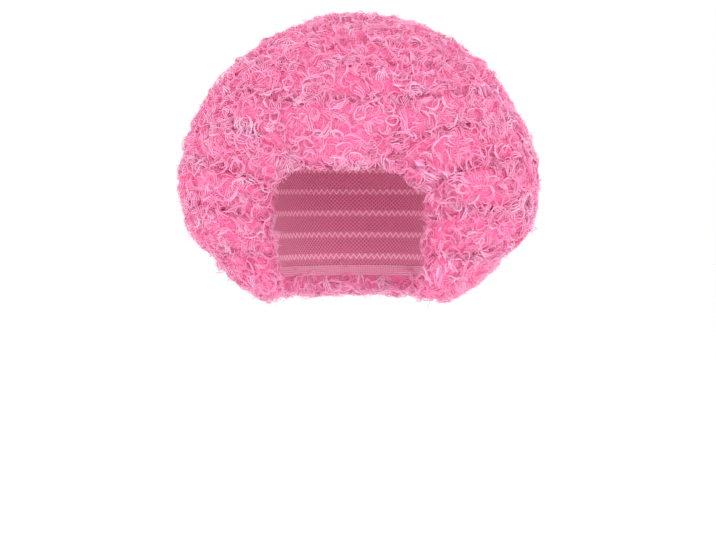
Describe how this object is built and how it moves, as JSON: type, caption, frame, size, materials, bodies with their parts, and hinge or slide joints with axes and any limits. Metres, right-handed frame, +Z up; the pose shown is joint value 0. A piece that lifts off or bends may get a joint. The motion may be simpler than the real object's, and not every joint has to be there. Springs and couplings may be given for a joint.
{
  "type": "curly clown wig",
  "caption": "Round afro-style costume wig of tight synthetic curls, sewn in weft rows on a stretch cap with elastic round the face and nape.",
  "frame": {"origin": "the point inside the cap that rests on the crown of the head", "axes": "+Z up, -Y towards the face, +X towards the left hand of the wearer"},
  "size_m": [0.3001, 0.2705, 0.237],
  "materials": {
    "curl_fibre": "crimped synthetic fibre, soft sheen",
    "cap_net": "knitted stretch net, matt",
    "elastic": "woven elastic, matt"
  },
  "bodies": {
    "root": {"cap": "cap_net", "front_band": "elastic", "nape_band": "elastic", "crown_tuft": "curl_fibre", "weft_row_1": "curl_fibre", "weft_row_2": "curl_fibre", "weft_row_3": "curl_fibre", "weft_row_4": "curl_fibre", "fringe": "curl_fibre", "weft_row_5": "curl_fibre", "weft_row_6": "curl_fibre", "weft_row_7": "curl_fibre", "weft_row_8": "curl_fibre", "weft_row_9": "curl_fibre"}
  },
  "joints": []
}
